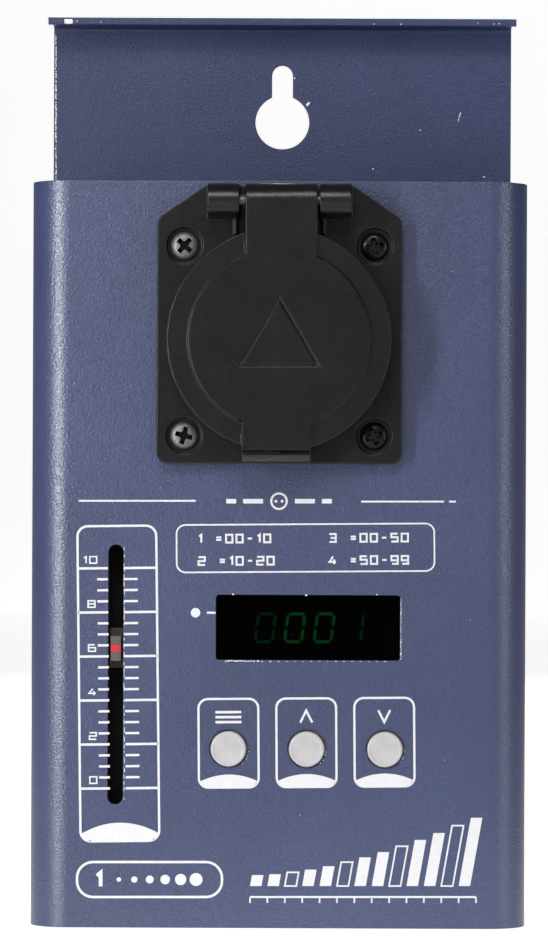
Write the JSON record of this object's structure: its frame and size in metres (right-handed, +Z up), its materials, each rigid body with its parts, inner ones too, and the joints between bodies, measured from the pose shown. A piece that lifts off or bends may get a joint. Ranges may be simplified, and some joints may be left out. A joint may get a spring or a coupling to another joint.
{
  "type": "dimmer pack",
  "caption": "Wall-hung dimmer pack: folded steel case with a keyhole plate, lidded outlet socket, fader, display and push buttons.",
  "frame": {"origin": "middle of the bounding box in plan, lid included, at the case's lowest edge", "axes": "+Z up along the case, -Y out of the front panel, +Y into the wall, +X to the right seen from the front"},
  "size_m": [0.1, 0.0616, 0.1875],
  "materials": {
    "coated_steel": "fine orange-peel powder coat, slate blue",
    "zinc_steel": "bright zinc",
    "spring_steel": "drawn",
    "dark_steel": "black zinc",
    "latch_steel": "satin",
    "fader_steel": "dull",
    "core_steel": "varnished laminations",
    "brass": "plain",
    "sink_aluminium": "extruded",
    "wound_copper": "enamelled",
    "black_plastic": "moulded, satin",
    "connector_shell": "moulded, satin",
    "seal_rubber": "matt",
    "lever_plastic": "moulded",
    "red_plastic": "moulded",
    "button_plastic": "semi gloss",
    "smoked_window": "polished, smoked",
    "circuit_board": "solder mask",
    "grey_plastic": "moulded",
    "blue_plastic": "moulded",
    "green_plastic": "moulded",
    "fuse_glass": "clear",
    "brown_sleeve": "wire insulation",
    "blue_sleeve": "wire insulation",
    "green_sleeve": "wire insulation"
  },
  "bodies": {
    "case": {"rear_chassis": "coated_steel", "top_end_plate": "coated_steel", "front_cover": "coated_steel", "cover_screw_1": "zinc_steel", "cover_screw_2": "zinc_steel", "cover_screw_3": "zinc_steel", "cover_screw_4": "zinc_steel", "socket_body": "black_plastic", "socket_gasket": "seal_rubber", "socket_rear_cap": "black_plastic", "line_contact_left": "brass", "line_contact_right": "brass", "earth_clip": "spring_steel", "hinge_pin": "zinc_steel", "lid_spring": "spring_steel", "socket_screw_1": "zinc_steel", "socket_screw_2": "zinc_steel", "socket_screw_3": "zinc_steel", "socket_screw_4": "zinc_steel", "fader_body": "fader_steel", "control_board": "circuit_board", "board_stud_1": "zinc_steel", "board_stud_2": "zinc_steel", "board_stud_3": "zinc_steel", "switch_menu": "black_plastic", "switch_up": "black_plastic", "switch_down": "black_plastic", "display_module": "black_plastic", "display_window": "smoked_window", "microcontroller": "black_plastic", "power_board": "circuit_board", "board_rail_left": "grey_plastic", "board_rail_right": "grey_plastic", "transformer": "core_steel", "choke": "wound_copper", "suppression_capacitor": "blue_plastic", "terminal_block": "green_plastic", "heat_sink": "sink_aluminium", "triac": "black_plastic", "input_connector": "connector_shell", "output_connector": "connector_shell", "connector_screw_1": "dark_steel", "connector_screw_2": "dark_steel", "connector_screw_3": "dark_steel", "connector_screw_4": "dark_steel", "fuse_holder": "black_plastic", "cable_grommet": "seal_rubber", "live_wire": "brown_sleeve", "neutral_wire": "blue_sleeve", "earth_wire": "green_sleeve"},
    "lid": {"socket_lid": "black_plastic", "lid_seal": "seal_rubber"},
    "fader": {"fader_lever": "lever_plastic", "fader_pointer": "red_plastic"},
    "menu_button": {"button_menu": "button_plastic"},
    "up_button": {"button_up": "button_plastic"},
    "down_button": {"button_down": "button_plastic"},
    "latch": {"output_latch": "latch_steel"},
    "fuse": {"fuse_cap": "black_plastic", "fuse_link": "fuse_glass"}
  },
  "joints": [
    {"name": "lid_hinge", "type": "hinge", "parent": "case", "child": "lid", "pos_m": [0, -0.02745, 0.1455], "axis": [-1, 0, 0], "range_deg": [0, 110], "stiffness_Nm_per_rad": 0.004, "springref_deg": -34.38},
    {"name": "fader_slide", "type": "slide", "parent": "case", "child": "fader", "axis": [0, 0, 1], "range_m": [-0.028, 0.0165]},
    {"name": "menu_press", "type": "slide", "parent": "case", "child": "menu_button", "axis": [0, 1, 0], "range_m": [0, 0.0005], "stiffness_N_per_m": 300, "springref_m": -0.001},
    {"name": "up_press", "type": "slide", "parent": "case", "child": "up_button", "axis": [0, 1, 0], "range_m": [0, 0.0005], "stiffness_N_per_m": 300, "springref_m": -0.001},
    {"name": "down_press", "type": "slide", "parent": "case", "child": "down_button", "axis": [0, 1, 0], "range_m": [0, 0.0005], "stiffness_N_per_m": 300, "springref_m": -0.001},
    {"name": "latch_press", "type": "slide", "parent": "case", "child": "latch", "axis": [0, 0, 1], "range_m": [0, 0.001], "stiffness_N_per_m": 300, "springref_m": -0.001},
    {"name": "fuse_cap_turn", "type": "hinge", "parent": "case", "child": "fuse", "pos_m": [-0.0185, 0.00575, 0.0045], "axis": [0, 0, 1], "range_deg": [0, 60]}
  ]
}
